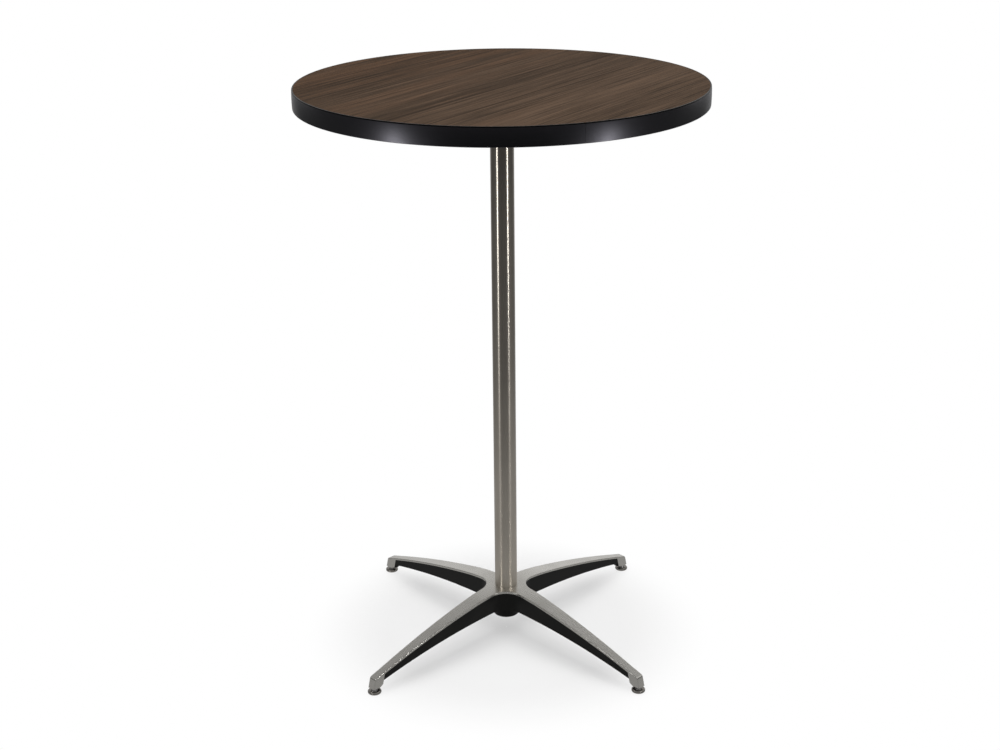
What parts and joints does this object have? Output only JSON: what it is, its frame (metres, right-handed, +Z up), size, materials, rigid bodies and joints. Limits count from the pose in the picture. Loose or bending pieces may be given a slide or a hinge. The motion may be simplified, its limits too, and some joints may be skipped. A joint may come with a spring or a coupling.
{
  "type": "pub table",
  "caption": "Round bar-height pub table: wood-pattern laminate top with a black edge band, a plain steel tube column and a low cross base of polished legs on screw-in levelling glides.",
  "frame": {"origin": "on the floor under the middle of the table", "axes": "+Z up along the column; +X to the right and -Y towards the viewer, as the table stands in the picture; the legs point along the diagonals"},
  "size_m": [0.7239, 0.724, 1.0668],
  "materials": {
    "laminate": "walnut-pattern laminate, satin",
    "core": "raw particle board",
    "backer": "plain backing laminate, matt",
    "band": "extruded black edge band, satin",
    "spider": "black painted casting, satin",
    "zinc": "zinc plated",
    "column": "satin, ground round its girth",
    "base": "polished top, lip and tips; side panels and hub painted black",
    "plug": "black moulded, matt",
    "glide": "bright chrome",
    "pad": "grey moulded, matt"
  },
  "bodies": {
    "table": {"top_laminate": "laminate", "top_core": "core", "backer_sheet": "backer", "edge_band": "band", "top_spider": "spider", "spider_screws": "zinc", "column_tube": "column", "tie_rod": "zinc", "flat_washer": "zinc", "spring_washer": "zinc", "rod_nut": "zinc", "hub_plug": "plug", "base_casting": "base"},
    "glide_1": {"glide_foot_1": "glide", "glide_pad_1": "pad"},
    "stem_1": {"glide_stem_1": "zinc"},
    "glide_2": {"glide_foot_2": "glide", "glide_pad_2": "pad"},
    "stem_2": {"glide_stem_2": "zinc"},
    "glide_3": {"glide_foot_3": "glide", "glide_pad_3": "pad"},
    "stem_3": {"glide_stem_3": "zinc"},
    "glide_4": {"glide_foot_4": "glide", "glide_pad_4": "pad"},
    "stem_4": {"glide_stem_4": "zinc"}
  },
  "joints": [
    {"name": "glide_1_travel", "type": "slide", "parent": "table", "child": "glide_1", "axis": [0, 0, -1], "range_m": [-0.0005, 0.006]},
    {"name": "stem_1_turn", "type": "hinge", "parent": "glide_1", "child": "stem_1", "pos_m": [-0.24013, 0.24013, 0.0077], "axis": [0, 0, -1], "range_deg": [-200, 2190]},
    {"name": "glide_2_travel", "type": "slide", "parent": "table", "child": "glide_2", "axis": [0, 0, -1], "range_m": [-0.0005, 0.006]},
    {"name": "stem_2_turn", "type": "hinge", "parent": "glide_2", "child": "stem_2", "pos_m": [-0.24013, -0.24013, 0.0077], "axis": [0, 0, -1], "range_deg": [-200, 2190]},
    {"name": "glide_3_travel", "type": "slide", "parent": "table", "child": "glide_3", "axis": [0, 0, -1], "range_m": [-0.0005, 0.006]},
    {"name": "stem_3_turn", "type": "hinge", "parent": "glide_3", "child": "stem_3", "pos_m": [0.24013, -0.24013, 0.0077], "axis": [0, 0, -1], "range_deg": [-200, 2190]},
    {"name": "glide_4_travel", "type": "slide", "parent": "table", "child": "glide_4", "axis": [0, 0, -1], "range_m": [-0.0005, 0.006]},
    {"name": "stem_4_turn", "type": "hinge", "parent": "glide_4", "child": "stem_4", "pos_m": [0.24013, 0.24013, 0.0077], "axis": [0, 0, -1], "range_deg": [-200, 2190]}
  ],
  "couplings": [
    {"joint": "stem_1_turn", "follows": "glide_1_travel", "rad_per_m": 6283.2},
    {"joint": "stem_2_turn", "follows": "glide_2_travel", "rad_per_m": 6283.2},
    {"joint": "stem_3_turn", "follows": "glide_3_travel", "rad_per_m": 6283.2},
    {"joint": "stem_4_turn", "follows": "glide_4_travel", "rad_per_m": 6283.2}
  ]
}
